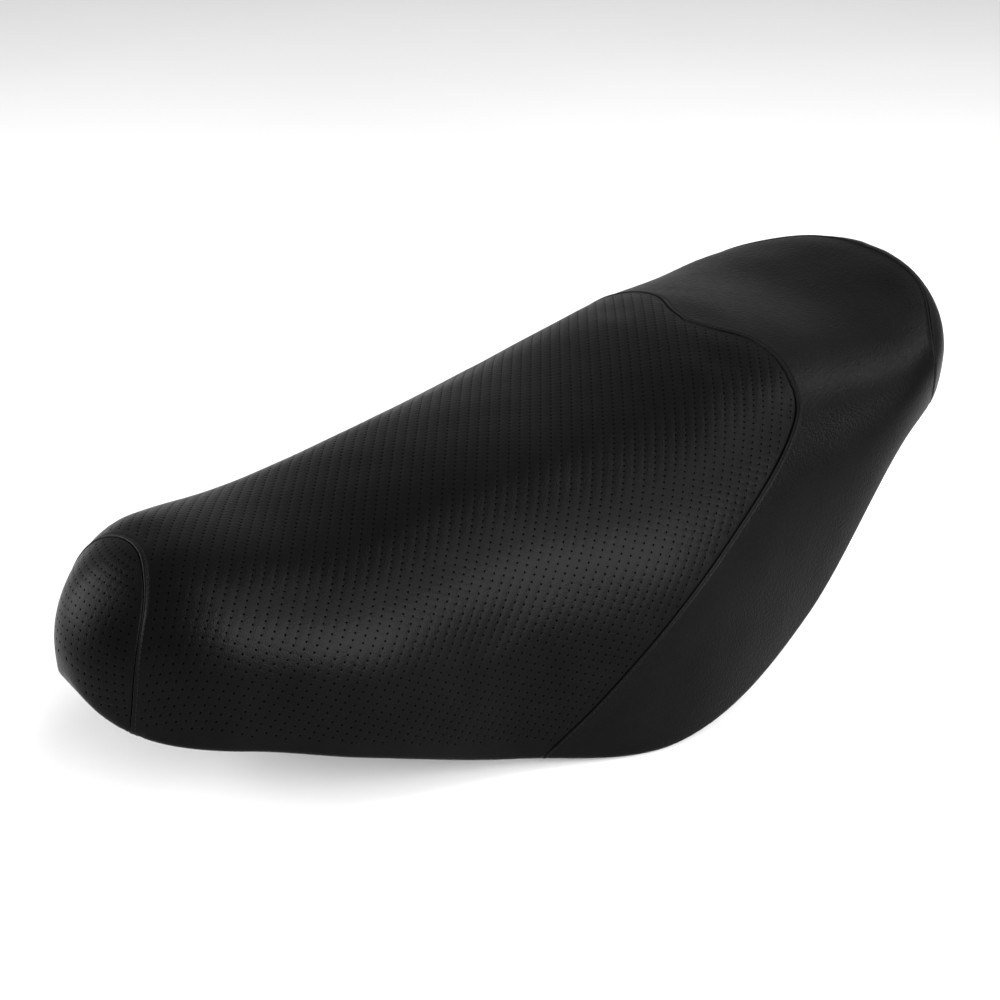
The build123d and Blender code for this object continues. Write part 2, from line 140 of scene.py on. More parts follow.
def body_lines(x):
    """Half-width, crown height and edge height of the outer body at x, ends rounded off."""
    width, crown, edge = (smooth(x, STATION, line) for line in (HALF_WIDTH, CROWN, EDGE))
    at_nose = x < NOSE_X + LENGTH / 2
    length, power, tip = NOSE_CAP if at_nose else TAIL_CAP
    reach = length - (x - NOSE_X if at_nose else NOSE_X + LENGTH - x)
    shrink = (1 - (reach / length) ** power) ** (1 / power) if reach > 0 else 1.0
    tip_z = edge + tip * (crown - edge)
    return width * shrink, tip_z + (crown - tip_z) * shrink, tip_z + (edge - tip_z) * shrink


def bezier(points, count):
    """count points on a Bezier curve of degree 2 or 3, without its last point."""
    t = np.arange(count)[:, None] / count
    p = np.array(points, float)
    while len(p) > 1:
        p = [a + (b - a) * t for a, b in zip(p[:-1], p[1:])]
    return p[0]


UPPER, LOWER, TURN, UNDER = 70, 40, 6, 24
EDGE_AT = UPPER + LOWER


def section(s):
    """Points of half a section: crown, shoulder, belt, lower edge, and the underside to its middle."""
    width, crown, edge = body_lines(NOSE_X + s)
    square = smooth(NOSE_X + s, STATION, FULLNESS)
    belt = edge + BELT * (crown - edge)
    rise, foot = (crown - belt) * square, width * TUCK
    roll = min(ROLL_R, 0.2 * (crown - edge), 0.4 * foot)
    turn = np.arange(TURN)[:, None] / TURN * math.pi / 2
    inward = np.arange(UNDER + 1)[:, None] / UNDER
    return np.concatenate([
        bezier([(0, crown), (width * square, crown), (width, belt + rise), (width, belt)], UPPER),
        bezier([(width, belt), (width, (edge + roll + belt) / 2), (foot, edge + roll)], LOWER),
        np.hstack([foot - roll + roll * np.cos(turn), edge + roll - roll * np.sin(turn)]),
        np.hstack([(foot - roll) * (1 - inward), edge + 0 * inward])])


def eased(length, count):
    """Places along a rounded end, closer together towards its tip."""
    return length * (1 - np.cos(np.linspace(0, math.pi / 2, count)))


TIP = 0.15
ROWS = np.unique(np.concatenate([TIP + eased(NOSE_CAP[0], 70), np.arange(82, 592, 2.0),
                                 LENGTH - TIP - eased(TAIL_CAP[0], 70)]).round(4))
POINTS = np.array([np.insert(section(s), 0, NOSE_X + s, axis=1) for s in ROWS])
along = np.gradient(POINTS, ROWS, axis=0)
NORMALS = np.cross(along, np.gradient(POINTS, axis=1))
NORMALS /= np.linalg.norm(NORMALS, axis=2, keepdims=True)
NORMALS[:, (0, -1), 1] = 0
GIRTH = np.zeros(POINTS.shape[:2])
GIRTH[:, 1:] = np.cumsum(np.linalg.norm(np.diff(POINTS, axis=1), axis=2), axis=1)


def girth_at(s, index):
    """Distance round the section at s, from the crown to the station with that index."""
    return np.interp(s, ROWS, GIRTH[:, index])


def skin(s, v, lift=0.0):
    """Points of the skin at s along the body and v round it from the crown, lifted off it."""
    s, v = np.broadcast_arrays(np.asarray(s, float), np.asarray(v, float))
    lift = np.broadcast_to(np.asarray(lift, float), s.shape)
    made = []
    for at in range(0, len(s), 5 * BATCH):
        part = slice(at, at + 5 * BATCH)
        row = np.clip(np.searchsorted(ROWS, s[part]) - 1, 0, len(ROWS) - 2)
        f = np.clip((s[part] - ROWS[row]) / (ROWS[row + 1] - ROWS[row]), 0, 1)[:, None]
        lengths = GIRTH[row] * (1 - f) + GIRTH[row + 1] * f
        a = np.minimum(np.abs(v[part]), lengths[:, -1])[:, None]
        m = np.clip((lengths <= a).sum(1) - 1, 0, lengths.shape[1] - 2)
        pick = np.arange(len(m))
        g = ((a[:, 0] - lengths[pick, m]) / (lengths[pick, m + 1] - lengths[pick, m]))[:, None]

        def blend(table):
            low = table[row, m] * (1 - g) + table[row, m + 1] * g
            return low * (1 - f) + (table[row + 1, m] * (1 - g) + table[row + 1, m + 1] * g) * f

        normal = blend(NORMALS)
        normal /= np.linalg.norm(normal, axis=1, keepdims=True)
        place = blend(POINTS) + normal * lift[part, None]
        place[:, 1] *= np.where(v[part] < 0, -1, 1)
        made.append(place)
    return np.concatenate(made)


# ---- charts: flat maps of the skin, near enough to true length -----------------------------------
speed = np.linalg.norm(along, axis=2)
RUN = np.concatenate([[0], np.cumsum(np.diff(ROWS) * (speed[1:, (0, UPPER)].mean(1)
                                                      + speed[:-1, (0, UPPER)].mean(1)) / 2)])


class BodyChart:
    """Runs along the body and round it."""

    def flat(self, s, v):
        return np.stack([np.interp(s, ROWS, RUN), v], 1)

    def curved(self, p):
        return np.interp(p[:, 0], RUN, ROWS), p[:, 1]


class EndChart:
    """Polar: distance from the tip, and the share of the way round from the crown as an angle."""
    RAYS = 91

    def __init__(self, at_nose, rows_used=140):
        self.turn = 1 if at_nose else -1
        order = slice(0, rows_used) if at_nose else slice(None, -rows_used - 1, -1)
        self.s = ROWS[order]
        self.angles = np.linspace(0, math.pi, self.RAYS)
        total = GIRTH[order, -1]
        lines = np.array([skin(self.s, total * angle / math.pi) for angle in self.angles])
        steps = np.linalg.norm(np.diff(lines, axis=1), axis=2)
        self.reach = np.hstack([np.full((self.RAYS, 1), TIP), TIP + np.cumsum(steps, axis=1)])

    def ray(self, angle):
        """The ray at or before an angle, and the share of the way to the next one."""
        place = np.clip(angle / self.angles[1], 0, self.RAYS - 1.001)
        low = place.astype(int)
        return low, place - low

    def flat(self, s, v):
        angle = np.abs(v) / girth_at(s, -1) * math.pi
        low, f = self.ray(angle)
        rank = np.interp(s * self.turn, self.s * self.turn, np.arange(len(self.s)))
        k = np.minimum(rank.astype(int), len(self.s) - 2)
        g = rank - k
        r = ((self.reach[low, k] * (1 - f) + self.reach[low + 1, k] * f) * (1 - g)
             + (self.reach[low, k + 1] * (1 - f) + self.reach[low + 1, k + 1] * f) * g)
        return np.stack([r * np.cos(angle), self.turn * np.sign(v) * r * np.sin(angle)], 1)

    def curved(self, p):
        r = np.hypot(p[:, 0], p[:, 1])
        angle = np.arctan2(p[:, 1] * self.turn, p[:, 0])
        low, f = self.ray(np.abs(angle))
        reach = self.reach[low] * (1 - f[:, None]) + self.reach[low + 1] * f[:, None]
        k = np.clip((reach <= r[:, None]).sum(1) - 1, 0, len(self.s) - 2)
        pick = np.arange(len(k))
        g = np.clip((r - reach[pick, k]) / (reach[pick, k + 1] - reach[pick, k]), 0, 1)
        s = self.s[k] * (1 - g) + self.s[k + 1] * g
        return s, angle / math.pi * girth_at(s, -1)


# ---- seams ---------------------------------------------------------------------------------------
def resample(line, step):
    """Points a step apart along a line of (s, v) points, measured on the skin."""
    place = skin(line[:, 0], line[:, 1])
    run = np.concatenate([[0], np.cumsum(np.linalg.norm(np.diff(place, axis=0), axis=1))])
    at = np.linspace(0, run[-1], max(2, int(round(run[-1] / step)) + 1))
    return np.stack([np.interp(at, run, line[:, i]) for i in (0, 1)], 1)


def hem_end(s):
    """Way round the section at s, from the crown to the hem's inner edge."""
    return girth_at(s, EDGE_AT + TURN) + HEM - ROLL_R


def seam_line(seam, lean, low, high):
    """(s, v) points of a seam from the left hem to the right hem, found between s = low and high."""
    half, place = seam
    count, halvings, hem_points = 81, 30, 12
    share = np.linspace(0, 1, count)
    near, far = np.full(count, float(low)), np.full(count, float(high))
    for _ in range(halvings):
        middle = (near + far) / 2
        x, y, z = skin(middle, share * girth_at(middle, EDGE_AT)).T
        past = x - lean * z > np.array([smooth(abs(q), half, place) for q in y])
        near, far = np.where(past, near, middle), np.where(past, middle, far)
    right = np.stack([near, share * girth_at(near, EDGE_AT)], 1)
    s_edge, v_edge = right[-1]
    inward = np.linspace(0, 1, hem_points)[1:, None]
    hem = hem_end(s_edge) - v_edge
    right = np.concatenate([right, np.hstack([s_edge + 0 * inward, v_edge + hem * inward])])
    left = right[:0:-1] * (1, -1)
    return resample(np.concatenate([left, right]), SEAM_STEP)


nose_seam = seam_line(NOSE_SEAM, NOSE_SEAM_LEAN, 1, 60)
driver_seam = seam_line(DRIVER_SEAM, DRIVER_SEAM_LEAN, 150, 560)
tail_seam = seam_line(TAIL_SEAM, TAIL_SEAM_LEAN, 560, LENGTH - 1)


def hem_line(start, end):
    """(s, v) points along the hem's inner edge on the right, between two places along the body."""
    s = np.linspace(start, end, max(2, int(abs(end - start) / 4) + 1))
    v = np.minimum(hem_end(s), girth_at(s, -1))
    return np.stack([s, v], 1)


def mirrored(line):
    return line[::-1] * (1, -1)


def body_loop(front, rear):
    """Outline of a panel that runs from one seam to the next."""
    right = hem_line(front[-1, 0], rear[-1, 0])
    return np.concatenate([front[:-1], right[:-1], rear[:0:-1], mirrored(right)[:-1]])


def end_loop(seam, closed_at):
    """Outline of an end panel: the seam, the hem, and across the underside where the hem ends."""
    right = hem_line(seam[-1, 0], closed_at)
    s, v = right[-1]
    all_round = 2 * girth_at(s, -1)
    past = np.linspace(v, all_round - v, 13)
    across = np.stack([np.full(13, s), np.where(past > all_round / 2, past - all_round, past)], 1)
    return np.concatenate([seam[:-1], right[:-1], across[:-1], mirrored(right)[:-1]])


# ---- distance and inside tests in a chart ---------------------------------------------------------
def distance(points, line):
    """Distance of each point from an open line."""
    a, b = line[:-1], line[1:]
    d = b - a
    size = (d ** 2).sum(1)
    best = np.zeros(len(points))
    for at in range(0, len(points), BATCH):
        p = points[at:at + BATCH, None]
        t = np.clip(((p - a) * d).sum(2) / size, 0, 1)[..., None]
        best[at:at + BATCH] = np.sqrt((((p - a) - t * d) ** 2).sum(2)).min(1)
    return best


def inside(points, loop):
    """Whether each point is inside a closed loop."""
    a, b = loop, np.roll(loop, -1, axis=0)
    result = np.zeros(len(points), bool)
    for at in range(0, len(points), BATCH):
        x, y = points[at:at + BATCH, 0, None], points[at:at + BATCH, 1, None]
        crosses = (a[:, 1] > y) != (b[:, 1] > y)
        with np.errstate(divide="ignore", invalid="ignore"):
            side = x < (b[:, 0] - a[:, 0]) * (y - a[:, 1]) / (b[:, 1] - a[:, 1]) + a[:, 0]
        result[at:at + BATCH] = (crosses & side).sum(1) % 2 == 1
    return result


def inside_out(loop):
    """Whether a closed loop runs clockwise."""
    x, y = loop.T
    return (x * np.roll(y, -1) - y * np.roll(x, -1)).sum() < 0


def lattice(loop, steps, turn):
    """Points of a lattice of square or oblong cells, turned by some degrees, that fall in a loop."""
    cos, sin = math.cos(math.radians(turn)), math.sin(math.radians(turn))
    axes = np.array([[cos, sin], [-sin, cos]])
    local = loop @ axes.T / steps
    lines = [np.arange(math.floor(q.min()), math.ceil(q.max()) + 1) + 0.5 for q in local.T]
    u, v = np.meshgrid(*lines)
    points = np.stack([u.ravel(), v.ravel()], 1) * steps @ axes
    return points[inside(points, loop)]


# ---- meshes ------------------------------------------------------------------------------------------
def make_piece(name, places, faces, kind=None):
    """A smooth-shaded mesh object from millimetre points. kind gives each face's material slot."""
    mesh = bpy.data.meshes.new(name)
    mesh.from_pydata((np.asarray(places) * MM).tolist(), [], faces)
    if kind is not None:
        mesh.polygons.foreach_set("material_index", kind)
    mesh.polygons.foreach_set("use_smooth", np.ones(len(mesh.polygons), bool))
    mesh.update()
    piece = bpy.data.objects.new(name, mesh)
    bpy.context.collection.objects.link(piece)
    return piece


# ---- swelling of the cover, by a cloth simulation ---------------------------------------------------
SWELL_S = np.linspace(4, LENGTH - 4, 113)
SWELL_Q = np.linspace(-1, 1, 85)
SWELL_CAP = 1.5
SWELL_SHARE = 0.6
SWELL_STEPS = 20
HELD_BY_SEAM = 4.5         # how far from a seam the cover is held still
CLOTH = {"quality": 4, "mass": 0.15, "tension_stiffness": 8, "compression_stiffness": 8,
         "bending_stiffness": 4, "use_pressure": True, "uniform_pressure_force": 4,
         "vertex_group_mass": "held"}


def smoothed(rows, passes):
    """Rows of numbers, each blended with the rows before and after it, with the first and last kept."""
    for _ in range(passes):
        rows[1:-1] = (rows[:-2] + 2 * rows[1:-1] + rows[2:]) / 4
    return rows


def swell_cover():
    """Outward travel of the cover under pressure, held at its lower edge and along its seams."""
    s, q = (g.ravel() for g in np.meshgrid(SWELL_S, SWELL_Q, indexing="ij"))
    v = q * girth_at(s, EDGE_AT)
    rest = skin(s, v)
    outward = skin(s, v, 1.0) - rest
    n, m = len(SWELL_S), len(SWELL_Q)
    index = np.arange(n * m).reshape(n, m)
    quads = np.stack([index[:-1, :-1], index[1:, :-1], index[1:, 1:], index[:-1, 1:]], -1)
    sheet = make_piece("swell", rest, quads.reshape(-1, 4).tolist())
    held = (np.abs(q) > 0.999) | (s <= SWELL_S[0]) | (s >= SWELL_S[-1])
    for seam in (nose_seam, driver_seam, tail_seam):
        seam_points = skin(seam[:, 0], seam[:, 1])
        for at in range(0, len(rest), BATCH // 2):
            part = slice(at, at + BATCH // 2)
            held[part] |= np.linalg.norm(rest[part, None] - seam_points, axis=2).min(1) < HELD_BY_SEAM
    group = sheet.vertex_groups.new(name="held")
    group.add(np.nonzero(held)[0].tolist(), 1.0, "REPLACE")
    cloth = sheet.modifiers.new("cloth", "CLOTH")
    for setting, value in CLOTH.items():
        setattr(cloth.settings, setting, value)
    cloth.settings.effector_weights.gravity = 0
    for step in range(SWELL_STEPS):
        bpy.context.scene.frame_set(step + 1)
    shown = sheet.evaluated_get(bpy.context.evaluated_depsgraph_get())
    moved = np.array([p.co for p in shown.data.vertices]) / MM
    travel = ((moved - rest) * outward).sum(1).reshape(n, m)
    mesh = sheet.data
    bpy.data.objects.remove(sheet)
    bpy.data.meshes.remove(mesh)
    bpy.context.scene.frame_set(1)
    travel = (travel + travel[:, ::-1]) / 2
    for _ in range(3):
        smoothed(travel, 1)
        smoothed(travel.T, 1)
    return SWELL_CAP * np.tanh(SWELL_SHARE * travel / SWELL_CAP)


swelling = swell_cover()


def unevenness(s, v):
    """Swelling and the slight waviness of stretched vinyl over foam."""
    q = np.clip(v / girth_at(s, EDGE_AT), -1, 1)
    i = np.clip((s - SWELL_S[0]) / (SWELL_S[1] - SWELL_S[0]), 0, len(SWELL_S) - 1.001)
    j = np.clip((q + 1) / (SWELL_Q[1] - SWELL_Q[0]), 0, len(SWELL_Q) - 1.001)
    a, b = i.astype(int), j.astype(int)
    f, g = i - a, j - b
    swell = ((swelling[a, b] * (1 - g) + swelling[a, b + 1] * g) * (1 - f)
             + (swelling[a + 1, b] * (1 - g) + swelling[a + 1, b + 1] * g) * f)
    fade = np.clip((1 - np.abs(q)) * 6, 0, 1)
    wave = (0.16 * np.sin(s / 17 + 2.1 * np.sin(v / 41)) * np.sin(v / 23 + 1.3 * np.sin(s / 37))
            + 0.09 * np.sin(s / 9.1 + v / 31 + 1.1) * np.sin(v / 12.7 - s / 29))
    return swell + wave * fade


# ---- panels -----------------------------------------------------------------------------------------
def offset_row(line, away):
    """A line moved sideways by a distance, to its left in the chart."""
    tangent = smoothed(np.gradient(line, axis=0), 3)
    tangent /= np.linalg.norm(tangent, axis=1, keepdims=True)
    return line + away * np.stack([-tangent[:, 1], tangent[:, 0]], 1)


def triangulate(points, edges, loop_size):
    """Triangles of the points inside the loop that the first loop_size points make."""
    out = delaunay_2d_cdt([Vector(p) for p in points.tolist()], edges, [list(range(loop_size))],
                          1, 1e-4, True)
    places = np.array([tuple(p) for p in out[0]])
    source = np.array([ids[0] if ids else -1 for ids in out[3]])
    found = np.array([f for f in out[2] if len(f) == 3])
    return places, found[inside(places[found].mean(1), points[:loop_size])], source


def hexagons(centres, radius):
    """Corners of a hexagon round each centre."""
    turn = np.arange(6) * math.pi / 3 + math.pi / 6
    return (centres[:, None] + radius * np.stack([np.cos(turn), np.sin(turn)], 1)).reshape(-1, 2)


class Net:
    """Points and edges to triangulate, gathered inside a panel's outline and clear of its seams."""

    def __init__(self, chart, outline, seams):
        self.chart = chart
        self.outline = outline
        self.closed = np.concatenate([outline, outline[:1]])
        self.seams = seams
        self.groups = [outline]
        self.count = self.size = len(outline)
        self.edges = [(i, (i + 1) % self.size) for i in range(self.size)]

    def add(self, points):
        """Adds loose points, and gives the number of the first one."""
        first = self.count
        self.groups.append(points)
        self.count += len(points)
        return first

    def add_row(self, row, good):
        """Adds the good points of a row, with an edge between neighbours where both are good."""
        ids = np.where(good, np.cumsum(good) - 1 + self.count, -1)
        self.add(row[good])
        self.edges += [(int(a), int(b)) for a, b in zip(ids[:-1], ids[1:]) if a >= 0 and b >= 0]

    def add_seam_rows(self):
        """Rows beside each seam, one for each distance in its profile."""
        for line, profile in self.seams:
            for d in profile[0][1:]:
                for away in (d, -d):
                    row = offset_row(line, away)
                    off_edge = distance(row, self.closed) > 0.8 * min(d, 1.2)
                    self.add_row(row, inside(row, self.outline) & off_edge & (distance(row, line) > 0.9 * d))

    def off_seams(self, points, extra):
        """Whether each point is further than extra from every seam's relief."""
        keep = np.ones(len(points), bool)
        for line, profile in self.seams:
            keep &= distance(points, line) > profile[0][-1] + extra
        return keep

    def clear(self, points, extra):
        """The points further than extra from the outline and from every seam's relief."""
        return points[(distance(points, self.closed) > extra) & self.off_seams(points, extra)]

    def add_holes(self, cell, turn):
        """Two rings and a middle for each hole of a lattice, and gives the first point and the count."""
        centres = self.clear(lattice(self.outline, cell, turn), DIMPLE_R + HOLE_CLEAR)
        s, v = self.chart.curved(centres)
        centres = centres[np.abs(v) < girth_at(s, EDGE_AT - SKIRT_ROWS) - 2]
        first = self.add(hexagons(centres, DIMPLE_R))
        self.add(hexagons(centres, HOLE_R))
        self.add(centres)
        return first, len(centres)

    def add_edge_rows(self, start, end):
        """Rows along the turned lower edge, where the skin bends most."""
        s = np.arange(start + 2, end - 2, ROW_STEP)
        for side in (-1, 1):
            for index in range(EDGE_AT - SKIRT_ROWS, EDGE_AT + TURN + 1, 2):
                row = self.chart.flat(s, side * girth_at(s, index))
                off_edge = distance(row, self.closed) > ROW_CLEAR[0]
                good = inside(row, self.outline) & off_edge & self.off_seams(row, ROW_CLEAR[1])
                self.add_row(row, good)

    def triangles(self):
        return triangulate(np.concatenate(self.groups), self.edges, self.size)


def seam_relief(places, on_loop, s, v, seams):
    """Lift of the skin: its unevenness, and the seams' relief, weaker towards the lower edge."""
    plain = unevenness(s, v)
    lift = plain.copy()
    reach, least = RELIEF_FADE
    ease = least + (1 - least) * np.clip((girth_at(s, EDGE_AT) - np.abs(v)) / reach, 0, 1)
    for line, profile in seams:
        d = distance(places, line)
        near = d < profile[0][-1]
        lift[near] += np.interp(d[near], *profile) * ease[near]
        on_seam = on_loop & (d < 0.05)
        lift[on_seam] = plain[on_seam] + profile[1][0] * ease[on_seam]
    return lift


def lining(chart, net):
    """The panel's inner face: its points, its triangles, and the given point that each came from."""
    fill = lattice(net.outline, (LINING_CELL, LINING_CELL), 45)
    fill = fill[distance(fill, net.closed) > LINING_CELL / 3]
    places, triangles, source = triangulate(np.concatenate([net.outline, fill]),
                                            net.edges[:net.size], net.size)
    s, v = chart.curved(places)
    return skin(s, v, unevenness(s, v) - COVER), triangles, source


def found_on_loop(source, size):
    """The triangulated point that each outline point became, and which of those points are on it."""
    found = np.full(size, -1)
    on_loop = (source >= 0) & (source < size)
    found[source[on_loop]] = np.nonzero(on_loop)[0]
    return found, on_loop


def panel(name, chart, loop, seams, node, holes=None, cell=WIDE_CELL):
    """A closed shell of vinyl, with seam relief and, where holes is set, a lattice of punched holes."""
    outline = chart.flat(loop[:, 0], loop[:, 1])
    if inside_out(outline):
        outline, loop = outline[::-1], loop[::-1]
    flat_seams = [(chart.flat(line[:, 0], line[:, 1]), profile) for line, profile in seams]
    net = Net(chart, outline, flat_seams)
    net.add_seam_rows()
    filler = lattice(outline, (cell, cell), 45)
    if holes:
        first, rings = net.add_holes(*holes)
        s, v = chart.curved(filler)
        net.add(net.clear(filler[np.abs(v) > girth_at(s, EDGE_AT) - 2], 2.0))
    else:
        net.add(net.clear(filler, cell * 0.4))
    net.add_edge_rows(loop[:, 0].min(), loop[:, 0].max())
    places, triangles, source = net.triangles()
    outer_at, on_loop = found_on_loop(source, net.size)
    s, v = chart.curved(places)
    s[on_loop], v[on_loop] = loop[source[on_loop]].T
    lift = seam_relief(places, on_loop, s, v, flat_seams)
    kind = np.zeros(len(triangles), int)
    if holes:
        ring = np.where(source >= first, (source - first) / rings, -1)
        lift[(ring >= 6) & (ring < 12)] -= DIMPLE_DEPTH
        middle = (ring >= 12) & (ring < 13)
        lift[middle] -= HOLE_DEPTH
        # The faces round each hole's middle take the second slot, a darker, matte black: painted shade in the
        # holes.
        kind[middle[triangles].any(1)] = 1
    outer = skin(s, v, lift)

    inner, inner_triangles, inner_source = lining(chart, net)
    inner_at = found_on_loop(inner_source, net.size)[0] + len(outer)
    walls = []
    for i in range(net.size):
        j = (i + 1) % net.size
        walls.append((outer_at[i], inner_at[i], inner_at[j]))
        walls.append((outer_at[i], inner_at[j], outer_at[j]))
    faces = np.concatenate([triangles, inner_triangles[:, ::-1] + len(outer), walls])
    kind = np.concatenate([kind, np.zeros(len(faces) - len(kind), int)])
    piece = make_piece(name, np.concatenate([outer, inner]), faces.tolist(), kind)
    if holes:
        mark_rims(piece, kind)
    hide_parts(node)
    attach(piece, "seat")
    return piece


def mark_rims(piece, kind):
    """Makes the edge between the skin and a punched hole sharp."""
    mesh = piece.data
    corners = np.zeros(len(mesh.loops), int)
    mesh.loops.foreach_get("edge_index", corners)
    face_of = np.repeat(np.arange(len(mesh.polygons)), 3)
    touched = [np.zeros(len(mesh.edges), bool) for _ in range(2)]
    for k in (0, 1):
        touched[k][corners[kind[face_of] == k]] = True
    sharp = mesh.attributes.new("sharp_edge", "BOOLEAN", "EDGE")
    sharp.data.foreach_set("value", touched[0] & touched[1])


body, nose, tail = BodyChart(), EndChart(True), EndChart(False)
OPEN_FROM = RIM_FRONT + HEM            # where the hem's inner edge crosses the middle
OPEN_TO = LENGTH - RIM_REAR - HEM
cover_nose = panel("cover_nose", nose, end_loop(nose_seam, OPEN_FROM), [(nose_seam, PLAIN_SIDE)],
                   "cover_nose_panel", holes=NOSE_HOLES, cell=FINE_CELL)
cover_driver = panel("cover_driver", body, body_loop(nose_seam, driver_seam),
                     [(nose_seam, LIP_SIDE), (driver_seam, PLAIN_SIDE)],
                     "cover_driver_panel", holes=DRIVER_HOLES)
cover_passenger = panel("cover_passenger", body, body_loop(driver_seam, tail_seam),
                        [(driver_seam, LIP_SIDE), (tail_seam, LIP_SIDE)], "cover_passenger_panel")
cover_tail = panel("cover_tail", tail, end_loop(tail_seam, OPEN_TO), [(tail_seam, PLAIN_SIDE)],
                   "cover_tail_panel", cell=END_CELL)


# ---- stitches ---------------------------------------------------------------------------------------
STITCH_POINTS = 12         # points of the sewing line to a stitch
STITCH_RINGS, STITCH_SIDES = 7, 6


def sewing_line(seam, towards_tail):
    """(s, v) points a fraction of a stitch apart, beside a seam and down to the lower edge."""
    flat = body.flat(seam[:, 0], seam[:, 1])
    for side in (1, -1):
        row = offset_row(flat, side * STITCH_LINE)
        if (row[:, 0].mean() > flat[:, 0].mean()) == towards_tail:
            break
    s, v = body.curved(row)
    keep = np.abs(v) < girth_at(s, EDGE_AT)
    return resample(np.stack([s, v], 1)[keep], STITCH_PITCH / STITCH_POINTS)


def stitches(name, seam, towards_tail):
    """Topstitching: one short loop of thread after another, each sunk into the vinyl at its ends."""
    line = sewing_line(seam, towards_tail)
    shape = np.linspace(-1, 1, STITCH_RINGS)
    arch = THREAD_DIP * (1 - shape ** 2) - THREAD_DIP
    thick = THREAD_R * np.sqrt(np.clip(1.02 - shape ** 4, 0, 1))
    turn = np.arange(STITCH_SIDES) * 2 * math.pi / STITCH_SIDES
    places, faces = [], []
    for start in range(0, len(line) - STITCH_POINTS, STITCH_POINTS):
        at = start + STITCH_POINTS / 2 * (1 + shape * STITCH_LENGTH / STITCH_PITCH)
        s, v = (np.interp(at, np.arange(len(line)), line[:, i]) for i in (0, 1))
        lift = unevenness(s, v) + arch
        middle = skin(s, v, lift)
        up = skin(s, v, lift + 1) - middle
        across = np.cross(middle[-1] - middle[0], up)
        across /= np.linalg.norm(across, axis=1, keepdims=True)
        base = len(places) * STITCH_RINGS * STITCH_SIDES
        ring = (middle[:, None] + (thick[:, None] * np.cos(turn))[..., None] * across[:, None]
                + (thick[:, None] * np.sin(turn))[..., None] * up[:, None])
        places.append(ring.reshape(-1, 3))
        faces += tube(base, STITCH_RINGS, STITCH_SIDES)
    piece = make_piece(name, np.concatenate(places), faces)
    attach(piece, "seat")
    return piece


def tube(base, rings, sides):
    """Faces of a capped tube of rings of points, numbered from base."""
    faces = []
    for start in range(base, base + (rings - 1) * sides, sides):
        for k in range(sides):
            a, b = start + k, start + (k + 1) % sides
            faces.append((a, a + sides, b + sides, b))
    faces.append(tuple(range(base, base + sides)))
    faces.append(tuple(range(base + rings * sides - 1, base + (rings - 1) * sides - 1, -1)))
    return faces


threads = [stitches("stitches_nose", nose_seam, True), stitches("stitches_driver", driver_seam, True),
           stitches("stitches_tail", tail_seam, False)]


# ---- foam ---------------------------------------------------------------------------------------------
def foam_pad():
    """The foam: the skin's form inset by the cover, hollowed below for the pan's raised part."""
    inset, under = COVER + GAP, COVER + FLANGE + 2 * SLACK
    raised_from, raised_to = PAN_FRONT - SLACK, LENGTH - PAN_REAR + SLACK
    sliver = 0.01
    rows = np.sort(np.concatenate([(9, 12, 16, 20, 25), np.arange(raised_from, raised_to, 8.0),
                                   (raised_to, raised_from - sliver, raised_to + sliver),
                                   (650, 656, 662, 667, 670)]))
    share = np.linspace(-1, 1, 61)
    rings = []
    for s in rows:
        width, crown, edge = body_lines(NOSE_X + s)
        places, v = np.full(len(share), s), share * girth_at(s, EDGE_AT) * 0.97
        top = skin(places, v, unevenness(places, v) - inset)
        low = min(edge + under, top[:, 2].min() - 0.5, crown - inset - 1)
        top[:, 2] = np.maximum(top[:, 2], low)
        reach = abs(top[-1, 1])
        foot = min(max(width * TUCK - WALL_INSET + SLACK, 1), reach * 0.9)
        high = smooth(NOSE_X + s, STATION, FLOOR) + SLACK
        if not raised_from <= s <= raised_to:
            high = low
        slant = WALL_LEAN * (high > low)
        profile = [(reach, low), ((reach + foot) / 2, low), (foot, low), (foot - slant, high),
                   (foot / 2, high), (0, high)]
        across = profile + [(-y, z) for y, z in profile[-2::-1]]
        rings.append(np.concatenate([top, [(NOSE_X + s, y, z) for y, z in across]]))
    n, m = len(rings), len(rings[0])
    faces = [(i * m + j, (i + 1) * m + j, (i + 1) * m + (j + 1) % m, i * m + (j + 1) % m)
             for i in range(n - 1) for j in range(m)]
    faces.append(tuple(range(m)))
    faces.append(tuple(range(n * m - 1, (n - 1) * m - 1, -1)))
    piece = make_piece("foam_pad", np.concatenate(rings), faces)
    piece.data.set_sharp_from_angle(angle=math.radians(40))
    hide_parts("foam_cushion")
    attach(piece, "seat")
    return piece


foam = foam_pad()


